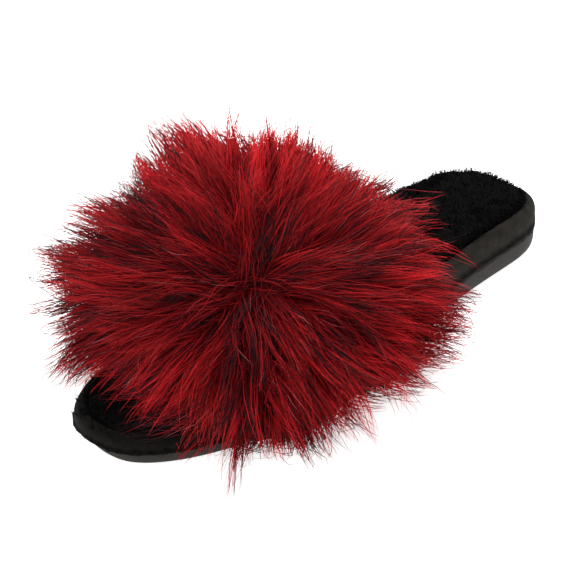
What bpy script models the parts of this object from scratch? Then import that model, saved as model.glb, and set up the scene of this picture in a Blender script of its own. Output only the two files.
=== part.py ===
"""Open-toe house slipper: a moulded wedge sole, a wrapped footbed with a plush insole, and one
vamp band that carries deep fur.

Metres, +Z up. The origin is on the floor under the middle of the sole. The toe points along -Y
and the heel along +Y. +X is the inner side of a right foot.
"""
import math
import random
from collections import namedtuple

import bmesh
import bpy
from mathutils import Vector

# Sole: plan
LENGTH = 0.262
TOE_WIDTH = 0.0812
BALL_WIDTH = 0.088
WAIST_WIDTH = 0.0742
HEEL_WIDTH = 0.0651
INWARD_LEAN = 0.0062
TOE_CAP = 0.070
HEEL_CAP = 0.0387
TOE_ROUNDNESS = 2.55
HEEL_ROUNDNESS = 3.0

# Sole: heights
OUTSOLE_TOE = 0.0063
OUTSOLE_HEEL = 0.0116
FOOTBED_TOE = 0.0070
FOOTBED_HEEL = 0.0111
TREAD_SPRING = 0.0004
TOE_LIFT = 0.0018
ARCH_HOLLOW = 0.0015
SOLE_SETBACK = 0.0003
TOE_OVERHANG = 0.0046
SIDE_ROUND = 0.0028
RIM_ROUND = 0.0026

# Insole
RIM_WIDTH = 0.005
RECESS_DEPTH = 0.003
PLUSH_RISE = 0.0035
PLUSH_CROWN = 0.0025
PLUSH_ROUND = 0.003

# Band
BAND_SETBACK = 0.051
BAND_LENGTH = 0.082
BAND_CROWN_FRONT = 0.055
BAND_CROWN_BACK = 0.065
BAND_WALL = 0.002
BAND_EASE = 0.0009
BAND_FULLNESS = 2.4

# Fur
FUR_SETBACK = 0.094
FUR_REACH_SIDE = 0.084
FUR_REACH_ALONG = 0.084
FUR_TOP = 0.098
FUR_MIDDLE = 0.038
FUR_SPREAD_LOW = 0.062
FUR_HEM = 0.0045
FUR_OVERHANG_FRONT = 0.014
FUR_OVERHANG_BACK = 0.010
FUR_BODY = 0.82
FUR_LEAST = 0.007
FUR_FAN = math.radians(50)
WHORL_SIDE = 0.024
WHORL_FORWARD = 0.026
LOCK_LENGTH = 0.034
FRINGE_FRONT = 0.030
FRINGE_BACK = 0.028

# Clearances
MEETING_GAP = 0.0003
BAND_TO_FUR = 0.0004

# Counts
CAP_STATIONS = 9
SHANK_STATIONS = 13
ARCH_COLUMNS = 28
BAND_ROWS = 8
FUR_ROWS = 13
LOCK_SEED = 7

PlanRow = namedtuple("PlanRow", "station width centre")
# station: share of LENGTH from the toe. width: full width. centre: share of INWARD_LEAN.
PLAN = (
    PlanRow(0.00, 0.80 * TOE_WIDTH, 1.00),
    PlanRow(0.24, TOE_WIDTH, 0.84),
    PlanRow(0.37, BALL_WIDTH, 0.52),
    PlanRow(0.58, WAIST_WIDTH, -0.19),
    PlanRow(0.80, HEEL_WIDTH, -0.51),
    PlanRow(1.00, 0.92 * HEEL_WIDTH, -0.53),
)

SideRow = namedtuple("SideRow", "inset height")
# inset: share of the layer's edge radius. height: share of the layer's thickness.
OUTSOLE_SIDE = (
    SideRow(1.00, 0.00),
    SideRow(0.38, 0.07),
    SideRow(0.05, 0.26),
    SideRow(-0.10, 0.52),
    SideRow(0.00, 0.78),
    SideRow(0.22, 0.92),
    SideRow(0.75, 1.00),
)
FOOTBED_SIDE = (
    SideRow(0.80, 0.00),
    SideRow(0.25, 0.09),
    SideRow(0.02, 0.27),
    SideRow(-0.05, 0.50),
    SideRow(0.05, 0.72),
    SideRow(0.38, 0.90),
    SideRow(1.00, 1.00),
)
PLUSH_SIDE = (
    SideRow(0.15, 0.00),
    SideRow(0.00, 0.30),
    SideRow(0.00, 0.62),
    SideRow(0.30, 0.86),
    SideRow(1.00, 1.00),
)
PLUSH_RINGS = (0.84, 0.62, 0.36)

# Where the fur swells or parts: direction from its middle, width in radians, share added.
LobeRow = namedtuple("LobeRow", "toward width rise")
LOBES = (
    LobeRow(Vector((-0.80, -0.36, 0.50)), 0.34, -0.15),
    LobeRow(Vector((-0.62, -0.02, 0.78)), 0.42, 0.10),
    LobeRow(Vector((0.04, 0.84, 0.54)), 0.44, -0.22),
    LobeRow(Vector((0.53, 0.78, 0.32)), 0.36, -0.12),
    LobeRow(Vector((0.90, 0.15, -0.40)), 0.28, -0.08),
    LobeRow(Vector((0.56, -0.66, -0.50)), 0.50, 0.15),
    LobeRow(Vector((-0.66, -0.68, 0.30)), 0.34, 0.08),
    LobeRow(Vector((-0.24, -0.92, -0.30)), 0.34, -0.08),
)


def clear_scene():
    for thing in list(bpy.data.objects):
        bpy.data.objects.remove(thing, do_unlink=True)


def make_material(name, colour, roughness, sheen=0.0):
    material = bpy.data.materials.new(name)
    material.use_nodes = True
    shader = material.node_tree.nodes["Principled BSDF"]
    shader.inputs["Base Color"].default_value = (*colour, 1.0)
    shader.inputs["Roughness"].default_value = roughness
    shader.inputs["Metallic"].default_value = 0.0
    shader.inputs["Sheen Weight"].default_value = sheen
    return material


def add_piece(name, mesh_builder, material, sharp_angle):
    mesh = bpy.data.meshes.new(name)
    bmesh.ops.recalc_face_normals(mesh_builder, faces=mesh_builder.faces)
    mesh_builder.to_mesh(mesh)
    mesh_builder.free()
    mesh.materials.append(material)
    mesh.shade_smooth()
    mesh.set_sharp_from_angle(angle=sharp_angle)
    piece = bpy.data.objects.new(name, mesh)
    bpy.context.scene.collection.objects.link(piece)
    return piece


def smooth_value(rows, column, at):
    """Monotone cubic through one column of a table whose first column is the position."""
    xs = [row[0] for row in rows]
    ys = [getattr(row, column) for row in rows]
    slopes = [(ys[i + 1] - ys[i]) / (xs[i + 1] - xs[i]) for i in range(len(xs) - 1)]
    tangents = [slopes[0]]
    for before, after in zip(slopes[:-1], slopes[1:]):
        same_way = before * after > 0.0
        tangents.append(2.0 * before * after / (before + after) if same_way else 0.0)
    tangents.append(slopes[-1])
    at = min(max(at, xs[0]), xs[-1])
    i = max(k for k in range(len(xs) - 1) if xs[k] <= at)
    span = xs[i + 1] - xs[i]
    s = (at - xs[i]) / span
    return (
        ys[i] * (1 + 2 * s) * (1 - s) ** 2
        + span * tangents[i] * s * (1 - s) ** 2
        + ys[i + 1] * s * s * (3 - 2 * s)
        - span * tangents[i + 1] * s * s * (1 - s)
    )


def ramp(value, low, high):
    return min(max((value - low) / (high - low), 0.0), 1.0)


def station_of(y):
    return y / LENGTH + 0.5


def place_of(station):
    return (station - 0.5) * LENGTH


def centre_line(station):
    return smooth_value(PLAN, "centre", station) * INWARD_LEAN


def half_width(station):
    """Half the sole's width, rounded off at the toe and the heel."""
    width = smooth_value(PLAN, "width", station)
    toe = 1.0 - ramp(station * LENGTH, 0.0, TOE_CAP)
    heel = 1.0 - ramp((1.0 - station) * LENGTH, 0.0, HEEL_CAP)
    width *= (1.0 - toe ** TOE_ROUNDNESS) ** (1.0 / TOE_ROUNDNESS)
    width *= (1.0 - heel ** HEEL_ROUNDNESS) ** (1.0 / HEEL_ROUNDNESS)
    return width / 2.0


def sole_stations():
    """Stations from toe to heel, closer together around both ends."""
    toe = TOE_CAP / LENGTH
    heel = HEEL_CAP / LENGTH
    turns = [math.pi / 2 * i / CAP_STATIONS for i in range(CAP_STATIONS + 1)]
    stations = [toe * (1.0 - math.cos(turn)) for turn in turns]
    step = (1.0 - heel - toe) / SHANK_STATIONS
    stations += [toe + step * i for i in range(1, SHANK_STATIONS)]
    stations += [1.0 - heel * (1.0 - math.cos(turn)) for turn in reversed(turns)]
    return stations


STATIONS = sole_stations()


def sole_outline():
    """The footbed's plan: down the inner side from toe to heel, and back up the outer side."""
    inner = [Vector((centre_line(s) + half_width(s), place_of(s))) for s in STATIONS]
    outer = [Vector((centre_line(s) - half_width(s), place_of(s))) for s in STATIONS]
    return inner + list(reversed(outer[1:-1]))


OUTLINE = sole_outline()


def outline_normals():
    count = len(OUTLINE)
    normals = []
    for i in range(count):
        along = OUTLINE[(i + 1) % count] - OUTLINE[i - 1]
        normals.append(Vector((along.y, -along.x)).normalized())
    return normals


OUTWARD = outline_normals()


def ground_height(station):
    """Underside of the sole: flat treads at heel and forefoot, arch hollow, slight toe spring."""
    hollow = math.sin(math.pi * ramp(station, 0.53, 0.71)) ** 2
    spring = 1.0 - ramp(station, 0.0, 0.14)
    return ARCH_HOLLOW * hollow + TREAD_SPRING * spring ** 2


def wedge(station):
    share = ramp(station, 0.25, 0.85)
    return share * share * (3.0 - 2.0 * share)


def outsole_top(station):
    spring = 1.0 - ramp(station, 0.0, 0.2)
    return OUTSOLE_TOE + (OUTSOLE_HEEL - OUTSOLE_TOE) * wedge(station) + TOE_LIFT * spring ** 2


def footbed_top(station):
    thickness = FOOTBED_TOE + (FOOTBED_HEEL - FOOTBED_TOE) * wedge(station)
    return outsole_top(station) + MEETING_GAP + thickness


def sole_inset(station):
    """How far the outsole stays back under the footbed, most at the toe."""
    return SOLE_SETBACK + TOE_OVERHANG * (1.0 - ramp(station, 0.0, 0.25))


def ring(inset, height):
    """One closed row of points. inset and height are functions of the station."""
    points = []
    for plan, outward in zip(OUTLINE, OUTWARD):
        spot = plan - outward * inset(station_of(plan.y))
        points.append(Vector((spot.x, spot.y, height(station_of(spot.y)))))
    return points


def skin(builder, rings):
    """Rings joined one above the other, and closed by strips across the first and the last."""
    rows = [[builder.verts.new(point) for point in points] for points in rings]
    count = len(rows[0])
    for low, high in zip(rows[:-1], rows[1:]):
        for i in range(count):
            j = (i + 1) % count
            builder.faces.new((low[i], low[j], high[j], high[i]))
    for row in (rows[0], rows[-1]):
        close_across(builder, row)


def close_across(builder, row):
    count = len(row)
    last = count // 2
    for i in range(last):
        corners = [row[i], row[i + 1], row[(count - i - 1) % count], row[(count - i) % count]]
        builder.faces.new(list(dict.fromkeys(corners)))


def layer_rings(side, edge, extra_inset, low, high):
    """Rings of a layer's side from its table of insets and heights."""
    rings = []
    for row in side:
        rings.append(ring(
            lambda s, row=row: row.inset * edge + extra_inset(s),
            lambda s, row=row: low(s) + row.height * (high(s) - low(s)),
        ))
    return rings


def build_outsole():
    builder = bmesh.new()
    skin(builder, layer_rings(OUTSOLE_SIDE, SIDE_ROUND, sole_inset, ground_height, outsole_top))
    material = make_material("moulded sole", (0.020, 0.018, 0.016), 0.55)
    return add_piece("outsole", builder, material, math.radians(50))


def build_footbed():
    builder = bmesh.new()

    def underside(s):
        return outsole_top(s) + MEETING_GAP

    rings = layer_rings(FOOTBED_SIDE, RIM_ROUND, lambda s: 0.0, underside, footbed_top)
    rings.append(ring(lambda s: RIM_WIDTH * 0.85, footbed_top))
    rings.append(ring(lambda s: RIM_WIDTH, lambda s: footbed_top(s) - RECESS_DEPTH * 0.2))
    rings.append(ring(lambda s: RIM_WIDTH, lambda s: footbed_top(s) - RECESS_DEPTH))
    skin(builder, rings)
    material = make_material("wrapped footbed", (0.014, 0.011, 0.010), 0.7)
    return add_piece("footbed", builder, material, math.radians(50))


def plush_floor(station):
    return footbed_top(station) - RECESS_DEPTH + MEETING_GAP


def plush_top(station):
    return footbed_top(station) + PLUSH_RISE


def build_insole():
    builder = bmesh.new()

    def side_inset(station):
        return RIM_WIDTH + MEETING_GAP

    rings = layer_rings(PLUSH_SIDE, PLUSH_ROUND, side_inset, plush_floor, plush_top)
    edge = rings[-1]
    for share in PLUSH_RINGS:
        crowned = []
        for point in edge:
            spot = Vector((point.x * share, point.y * share))
            rise = PLUSH_CROWN * (1.0 - share ** 2)
            crowned.append(Vector((spot.x, spot.y, plush_top(station_of(spot.y)) + rise)))
        rings.append(crowned)
    skin(builder, rings)
    material = make_material("black plush", (0.005, 0.005, 0.005), 0.95, sheen=0.3)
    return add_piece("insole", builder, material, math.radians(60))


BAND_FRONT = BAND_SETBACK - LENGTH / 2.0
BAND_BACK = BAND_FRONT + BAND_LENGTH


def band_base(y):
    return outsole_top(station_of(y)) + 2.0 * MEETING_GAP


def band_crown(y):
    rise = (BAND_CROWN_BACK - BAND_CROWN_FRONT) / BAND_LENGTH
    return BAND_CROWN_FRONT + rise * (y - BAND_FRONT)


def arch_point(y, turn, offset=0.0):
    """Point of the band's inner face at one cross-section, pushed out square to it.

    turn runs from 0 at the inner side's foot over the crown to pi at the outer side's foot.
    """
    station = station_of(y)
    reach = half_width(station) + BAND_EASE
    base = band_base(y)
    rise = band_crown(y) - base
    power = 2.0 / BAND_FULLNESS
    cosine = math.cos(turn)
    sine = max(math.sin(turn), 0.0)
    side = math.copysign(abs(cosine) ** power, cosine)
    height = sine ** power
    square = Vector((
        math.copysign(abs(side) ** (BAND_FULLNESS - 1.0), side) / reach,
        0.0,
        height ** (BAND_FULLNESS - 1.0) / rise,
    )).normalized()
    return Vector((centre_line(station) + reach * side, y, base + rise * height)) + square * offset


def arch_square(y, turn):
    return (arch_point(y, turn, 1.0) - arch_point(y, turn)).normalized()


def arch_turns():
    return [math.pi * i / ARCH_COLUMNS for i in range(ARCH_COLUMNS + 1)]


def build_band():
    """The vamp: one bent sheet, given its wall outwards."""
    builder = bmesh.new()
    rows = []
    for i in range(BAND_ROWS + 1):
        y = BAND_FRONT + BAND_LENGTH * i / BAND_ROWS
        rows.append([builder.verts.new(arch_point(y, turn)) for turn in arch_turns()])
    for front, back in zip(rows[:-1], rows[1:]):
        for i in range(ARCH_COLUMNS):
            builder.faces.new((front[i], back[i], back[i + 1], front[i + 1]))
    material = make_material("band backing", (0.045, 0.004, 0.006), 0.85)
    band = add_piece("upper_band", builder, material, math.radians(60))
    top = band.data.polygons[ARCH_COLUMNS // 2]
    wall = band.modifiers.new("wall", "SOLIDIFY")
    wall.thickness = BAND_WALL
    wall.offset = 1.0 if top.normal.z > 0.0 else -1.0
    wall.use_even_offset = True
    return band


FUR_CENTRE = Vector((0.0, FUR_SETBACK - LENGTH / 2.0, FUR_MIDDLE))
WHORL = Vector((WHORL_SIDE, FUR_CENTRE.y - WHORL_FORWARD, FUR_TOP))


def lobe_factor(direction):
    """More than one where the fur swells, and less where it parts."""
    factor = 1.0
    for lobe in LOBES:
        apart = direction.angle(lobe.toward)
        factor += lobe.rise * math.exp(-((apart / lobe.width) ** 2))
    return factor


def fur_distance(start, direction, share):
    """How far from a point, along a direction, the fur's outside lies at a share of its size."""
    reach = 0.0
    step = 0.0005
    for i in range(240):
        spot = start + direction * reach - FUR_CENTRE
        high = (FUR_TOP - FUR_MIDDLE) if spot.z > 0.0 else FUR_SPREAD_LOW
        size = math.sqrt(
            (spot.x / FUR_REACH_SIDE) ** 2
            + (spot.y / FUR_REACH_ALONG) ** 2
            + (spot.z / high) ** 2
        )
        if size >= share * lobe_factor(spot.normalized()):
            break
        reach += step
    return reach


def fur_columns(y):
    """Root points and outward directions over the band, with a hem column on each side."""
    offset = BAND_WALL + BAND_TO_FUR
    columns = [(arch_point(y, turn, offset), arch_square(y, turn)) for turn in arch_turns()]
    hems = []
    for root, square in (columns[0], columns[-1]):
        hems.append((Vector((root.x, root.y, FUR_HEM)), square))
    return [hems[0]] + columns + [hems[1]]


def build_fur():
    """Pile on the band: a body that fills most of the fur's form, and tapered locks on it."""
    builder = bmesh.new()
    roots = []
    outsides = []
    first = BAND_FRONT - FUR_OVERHANG_FRONT
    last = BAND_BACK + FUR_OVERHANG_BACK
    for i in range(FUR_ROWS + 1):
        share = i / FUR_ROWS
        y = first + (last - first) * share
        fan = FUR_FAN * (2.0 * share - 1.0)
        root_row = []
        outside_row = []
        for root, square in fur_columns(y):
            direction = square * math.cos(fan) + Vector((0.0, math.sin(fan), 0.0))
            depth = max(fur_distance(root, direction, FUR_BODY), FUR_LEAST)
            root_row.append(builder.verts.new(root))
            outside_row.append(builder.verts.new(root + direction * depth))
        roots.append(root_row)
        outsides.append(outside_row)
    columns = len(roots[0])
    outer_faces = []
    for front, back in zip(range(FUR_ROWS), range(1, FUR_ROWS + 1)):
        for i in range(columns - 1):
            builder.faces.new((
                roots[front][i], roots[front][i + 1], roots[back][i + 1], roots[back][i]))
            outer_faces.append(((front + i) % 2, builder.faces.new((
                outsides[front][i], outsides[back][i], outsides[back][i + 1],
                outsides[front][i + 1]))))
        for side in (0, columns - 1):
            builder.faces.new((
                roots[front][side], roots[back][side], outsides[back][side],
                outsides[front][side]))
    rim_faces = []
    for row, reach in ((0, -FRINGE_FRONT), (FUR_ROWS, FRINGE_BACK)):
        for i in range(columns - 1):
            face = builder.faces.new((
                roots[row][i], outsides[row][i], outsides[row][i + 1], roots[row][i + 1]))
            rim_faces.append((reach, face))
    bmesh.ops.recalc_face_normals(builder, faces=builder.faces)
    draw = random.Random(LOCK_SEED)
    for odd, face in outer_faces:
        if odd:
            raise_lock(builder, face, lock_tip(face, draw))
    for reach, face in rim_faces:
        raise_lock(builder, face, fringe_tip(face, reach, draw))
    material = make_material("red fur", (0.30, 0.010, 0.018), 0.9, sheen=0.4)
    return add_piece("fur", builder, material, math.radians(70))


def lock_tip(face, draw):
    """Where a lock on the fur's outside ends: it lies away from the whorl and stands out."""
    middle = face.calc_center_median()
    away = middle - WHORL
    away -= face.normal * away.dot(face.normal)
    lie = away.normalized() * 0.75 + face.normal * 0.75 + Vector((0.0, 0.0, -0.15))
    lie.normalize()
    length = min(fur_distance(middle, lie, 1.0), LOCK_LENGTH) * draw.uniform(0.85, 1.10)
    length = max(length, FUR_LEAST)
    tip = middle + lie * length
    tip.z = max(tip.z, FUR_HEM)
    return tip


def sole_edge(y, side):
    """Where the footbed's edge is at one place along it, on the side of the given sign."""
    station = station_of(y)
    return centre_line(station) + math.copysign(half_width(station), side)


def fringe_tip(face, reach, draw):
    """Where a lock on the front or back edge ends: it leans out over the sole and droops.

    Locks low on the sides are shorter and keep beside the sole's edge. Those at the back also
    end where the fur's form does.
    """
    middle = face.calc_center_median()
    high = ramp(middle.z, FUR_HEM, FUR_MIDDLE)
    outward = Vector((middle.x - FUR_CENTRE.x, 0.0, middle.z - FUR_MIDDLE)).normalized()
    lie = Vector((0.0, math.copysign(1.0, reach), -0.35)) + outward * 0.5 * high
    lie.normalize()
    length = abs(reach) * (0.35 + 0.65 * high)
    if reach > 0.0:
        length = min(length, max(fur_distance(middle, lie, 1.0), FUR_LEAST))
    tip = middle + lie * length * draw.uniform(0.80, 1.05)
    tip.x += (sole_edge(tip.y, middle.x) - sole_edge(middle.y, middle.x)) * (1.0 - high)
    tip.z = max(tip.z, FUR_HEM)
    return tip


def raise_lock(builder, face, tip):
    """Draw one face out to a tapered lock."""
    base = face.calc_center_median()
    corners = [vert.co.copy() for vert in face.verts]
    way = tip - base
    sag = Vector((0.0, 0.0, way.length * 0.05))
    for share, size in ((0.45, 0.62), (1.0, 0.10)):
        made = bmesh.ops.extrude_discrete_faces(builder, faces=[face])
        face = made["faces"][0]
        middle = base + way * share + sag * (1.0 - share)
        for vert, corner in zip(face.verts, corners):
            vert.co = middle + (corner - base) * size


clear_scene()
build_outsole()
build_footbed()
build_insole()
build_band()
build_fur()
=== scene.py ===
# %% [markdown]
# # A house slide with a deep-fur band
#
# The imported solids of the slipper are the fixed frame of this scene. They say where the sole, the
# footbed, the insole, the band and the fur are, and nothing here moves them. This lesson gives
# each of them the finish of the real thing: smooth moulded foam, a suede-like wrap, black plush,
# and long red pile with dark tips that parts around a whorl.
#
# The frame is loaded first, and its box is kept, because the finished slipper has to stay
# inside it.

# %% Load the frame
import math

import bpy
import numpy as np
from mathutils import Matrix, Vector, noise


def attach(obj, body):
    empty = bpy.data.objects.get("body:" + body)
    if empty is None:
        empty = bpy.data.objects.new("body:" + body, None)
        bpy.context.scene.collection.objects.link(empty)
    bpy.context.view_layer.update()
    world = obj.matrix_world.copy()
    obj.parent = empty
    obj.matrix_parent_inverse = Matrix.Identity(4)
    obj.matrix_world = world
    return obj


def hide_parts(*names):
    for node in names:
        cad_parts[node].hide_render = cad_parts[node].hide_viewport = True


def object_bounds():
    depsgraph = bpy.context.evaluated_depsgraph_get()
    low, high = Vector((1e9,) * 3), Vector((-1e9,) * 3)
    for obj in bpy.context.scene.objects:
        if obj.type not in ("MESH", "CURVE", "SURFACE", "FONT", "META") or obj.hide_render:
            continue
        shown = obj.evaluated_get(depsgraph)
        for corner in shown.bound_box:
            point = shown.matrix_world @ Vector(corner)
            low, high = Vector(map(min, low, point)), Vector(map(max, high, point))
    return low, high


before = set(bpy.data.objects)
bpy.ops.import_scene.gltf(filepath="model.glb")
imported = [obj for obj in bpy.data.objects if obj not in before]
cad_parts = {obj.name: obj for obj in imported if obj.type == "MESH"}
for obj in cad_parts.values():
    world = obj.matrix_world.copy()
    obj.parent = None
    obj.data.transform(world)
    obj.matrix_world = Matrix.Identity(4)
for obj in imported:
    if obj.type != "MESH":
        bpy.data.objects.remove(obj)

NOISE_SEED = 5           # without one, vector noise starts from the clock and every run differs
noise.seed_set(NOISE_SEED)
CAD_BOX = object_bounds()
print("CAD box from", [round(v, 4) for v in CAD_BOX[0]], "to", [round(v, 4) for v in CAD_BOX[1]])

# %% [markdown]
# ## The camera
#
# The photo was taken from in front of the inner side, a little above, and from close by, so the
# toe looks larger than the heel. A camera is placed by what it looks at, its turn around the
# slipper, its height in degrees and its distance. Its roll is built into the three directions of
# its matrix, because a camera has no roll setting of its own.

# %% Camera
LOOK_AT = Vector((0.0045, -0.0243, 0.030))
CAMERA_TURN = math.radians(45.5)
CAMERA_LIFT = math.radians(28.8)
CAMERA_ROLL = math.radians(1.76)
CAMERA_DISTANCE = 0.6175
FOCAL_PIXELS = 1509.6
FRAME_PIXELS = 576
SENSOR = 36.0


def add_camera():
    back = Vector((
        math.sin(CAMERA_TURN) * math.cos(CAMERA_LIFT),
        -math.cos(CAMERA_TURN) * math.cos(CAMERA_LIFT),
        math.sin(CAMERA_LIFT),
    ))
    level = Vector((math.cos(CAMERA_TURN), math.sin(CAMERA_TURN), 0.0))
    rise = back.cross(level)
    right = level * math.cos(CAMERA_ROLL) - rise * math.sin(CAMERA_ROLL)
    up = level * math.sin(CAMERA_ROLL) + rise * math.cos(CAMERA_ROLL)
    bpy.ops.object.camera_add()
    camera = bpy.context.object
    camera.name = "photo_camera"
    camera.matrix_world = Matrix.Translation(LOOK_AT + back * CAMERA_DISTANCE) @ Matrix((
        (right.x, up.x, back.x, 0.0),
        (right.y, up.y, back.y, 0.0),
        (right.z, up.z, back.z, 0.0),
        (0.0, 0.0, 0.0, 1.0),
    ))
    camera.data.sensor_width = SENSOR
    camera.data.lens = FOCAL_PIXELS / FRAME_PIXELS * SENSOR
    camera.data.clip_start = 0.01
    bpy.context.scene.camera = camera
    return camera


camera = add_camera()
print("camera", [round(v, 3) for v in camera.matrix_world.translation], "lens", camera.data.lens)

# %% [markdown]
# ## Helpers for pieces
#
# An operator acts on whatever is selected, so every step starts from nothing selected. The sole,
# the footbed, the insole and the band already have their true form in the frame, but in flat
# facets. A free copy of such a node is merged, its triangles are paired into quads, and a
# Subdivision Surface rounds it. That keeps the form and takes the facets away.

# %% Helpers for pieces
def deselect_all():
    bpy.ops.object.select_all(action="DESELECT")


def choose(piece):
    """Make one object the only selected and active one."""
    deselect_all()
    piece.select_set(True)
    bpy.context.view_layer.objects.active = piece


def merged_copy(node, name):
    """A free copy of a frame node, its loose triangles merged and paired into quads."""
    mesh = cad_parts[node].data.copy()
    mesh.name = name
    mesh.materials.clear()
    piece = bpy.data.objects.new(name, mesh)
    bpy.context.scene.collection.objects.link(piece)
    choose(piece)
    if mesh.has_custom_normals:
        bpy.ops.mesh.customdata_custom_splitnormals_clear()
    bpy.ops.object.mode_set(mode="EDIT")
    bpy.ops.mesh.select_all(action="SELECT")
    bpy.ops.mesh.remove_doubles(threshold=0.00002)
    bpy.ops.mesh.tris_convert_to_quads(face_threshold=0.9, shape_threshold=0.9)
    bpy.ops.object.mode_set(mode="OBJECT")
    return piece


def round_off(piece, levels):
    """Take the facets off a piece."""
    choose(piece)
    rounding = piece.modifiers.new("rounding", "SUBSURF")
    rounding.levels = levels
    rounding.render_levels = levels
    bpy.ops.object.modifier_apply(modifier=rounding.name)
    bpy.ops.object.shade_smooth()


def place_in_frame(piece, slot, *nodes):
    """Let a finished piece ride on the slipper and stand for the nodes that it replaces."""
    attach(piece, "root")
    if nodes:
        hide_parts(*nodes)
    print(piece.name, len(piece.data.polygons), "faces")


# %% [markdown]
# ## Helpers for materials
#
# Each material is a Principled BSDF with its own small tree. A few effects are shared: fine
# grain is a node group that gives a mask to mottle a colour with and a height for a Bump node.
# The group reads Object coordinates, so that the grain has the same size on every piece.

# %% Helpers for materials
def new_material(name):
    material = bpy.data.materials.new(name)
    material.use_nodes = True
    return material, material.node_tree.nodes, material.node_tree.links


def grain_group():
    """Shared grain: a broad mottle and a fine nap, from Object coordinates."""
    group = bpy.data.node_groups.new("grain", "ShaderNodeTree")
    sockets = group.interface
    sockets.new_socket("Vector", in_out="INPUT", socket_type="NodeSocketVector")
    sockets.new_socket("Broad scale", in_out="INPUT", socket_type="NodeSocketFloat")
    sockets.new_socket("Fine scale", in_out="INPUT", socket_type="NodeSocketFloat")
    sockets.new_socket("Mottle", in_out="OUTPUT", socket_type="NodeSocketFloat")
    sockets.new_socket("Height", in_out="OUTPUT", socket_type="NodeSocketFloat")
    nodes, links = group.nodes, group.links
    inside = nodes.new("NodeGroupInput")
    outside = nodes.new("NodeGroupOutput")
    broad = nodes.new("ShaderNodeTexNoise")
    broad.inputs["Detail"].default_value = 3.0
    fine = nodes.new("ShaderNodeTexNoise")
    fine.inputs["Detail"].default_value = 4.0
    fine.inputs["Roughness"].default_value = 0.65
    both = nodes.new("ShaderNodeMix")
    both.inputs["Factor"].default_value = 0.6
    links.new(inside.outputs["Vector"], broad.inputs["Vector"])
    links.new(inside.outputs["Vector"], fine.inputs["Vector"])
    links.new(inside.outputs["Broad scale"], broad.inputs["Scale"])
    links.new(inside.outputs["Fine scale"], fine.inputs["Scale"])
    links.new(broad.outputs["Fac"], both.inputs["A"])
    links.new(fine.outputs["Fac"], both.inputs["B"])
    links.new(both.outputs["Result"], outside.inputs["Mottle"])
    links.new(fine.outputs["Fac"], outside.inputs["Height"])
    return group


GRAIN = grain_group()


def grained_material(name, dark, light, broad, fine, bump, roughness, sheen=0.0, specular=0.5):
    """A matt material mottled between two colours, with a fine nap."""
    material, nodes, links = new_material(name)
    shader = nodes["Principled BSDF"]
    shader.inputs["Roughness"].default_value = roughness
    shader.inputs["Sheen Weight"].default_value = sheen
    shader.inputs["Specular IOR Level"].default_value = specular
    place = nodes.new("ShaderNodeTexCoord")
    grain = nodes.new("ShaderNodeGroup")
    grain.node_tree = GRAIN
    grain.inputs["Broad scale"].default_value = broad
    grain.inputs["Fine scale"].default_value = fine
    ramp = nodes.new("ShaderNodeValToRGB")
    ramp.color_ramp.elements[0].position = 0.36
    ramp.color_ramp.elements[0].color = (*dark, 1.0)
    ramp.color_ramp.elements[1].position = 0.64
    ramp.color_ramp.elements[1].color = (*light, 1.0)
    raised = nodes.new("ShaderNodeBump")
    raised.inputs["Strength"].default_value = 1.0
    raised.inputs["Distance"].default_value = bump
    links.new(place.outputs["Object"], grain.inputs["Vector"])
    links.new(grain.outputs["Mottle"], ramp.inputs["Fac"])
    links.new(ramp.outputs["Color"], shader.inputs["Base Color"])
    links.new(grain.outputs["Height"], raised.inputs["Height"])
    links.new(raised.outputs["Normal"], shader.inputs["Normal"])
    return material


# %% [markdown]
# ## The outsole
#
# The outsole is one moulding of black foam rubber, matt, with a soft lower edge. Its side is the
# lightest dark surface of the slipper, because it faces the pale floor. A copy of the frame's
# node gives the form. Rounding leaves a deep groove at the seam with the footbed, where the real
# one has a soft step, so the rounded edges along the seam are pushed outwards.

# %% Outsole
SEAM_FILL = 0.0014
SEAM_TURN = 0.15          # a face that turns up or down by more than this is part of the edge
SEAM_LEVEL = 0.12         # and one that turns sideways by less than this isn't
SEAM_EASE = 0.5           # the push grows to its full size over this much more turn


def close_seam(piece, upwards):
    """Push the rounded edge on the seam outwards, so that the seam is a soft step.

    upwards is 1 where the piece's top is at the seam, and -1 where its underside is.
    """
    for vert in piece.data.vertices:
        level = math.hypot(vert.normal.x, vert.normal.y)
        turn = vert.normal.z * upwards
        if turn > SEAM_TURN and level > SEAM_LEVEL:
            share = min((turn - SEAM_TURN) / SEAM_EASE, 1.0) * SEAM_FILL / level
            vert.co.x += vert.normal.x * share
            vert.co.y += vert.normal.y * share


def make_outsole():
    sole = merged_copy("outsole", "moulded_outsole")
    round_off(sole, 2)
    close_seam(sole, 1.0)
    sole.data.materials.append(grained_material(
        "moulded foam", dark=(0.018, 0.0155, 0.0135), light=(0.026, 0.0225, 0.0195),
        broad=60.0, fine=1500.0, bump=0.00008, roughness=0.70, specular=0.20))
    place_in_frame(sole, "sole", "outsole")
    return sole


outsole = make_outsole()

# %% [markdown]
# ## The footbed
#
# The footbed is foam wrapped in a soft napped cloth, which rolls over its edge and goes down
# under the insole. The nap catches light on the rounded rim, so the material has a little sheen.
# Around the toe the fur shades the rim, and that shade is painted into its colour, which
# falls off there.

# %% Footbed
# Painted shade: the rim's colour falls off towards the toe, where the fur shades it.
RIM_SHADE_FROM = -0.090
RIM_SHADE_TO = -0.030
RIM_PAINTED_SHADE = 0.38


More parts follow.
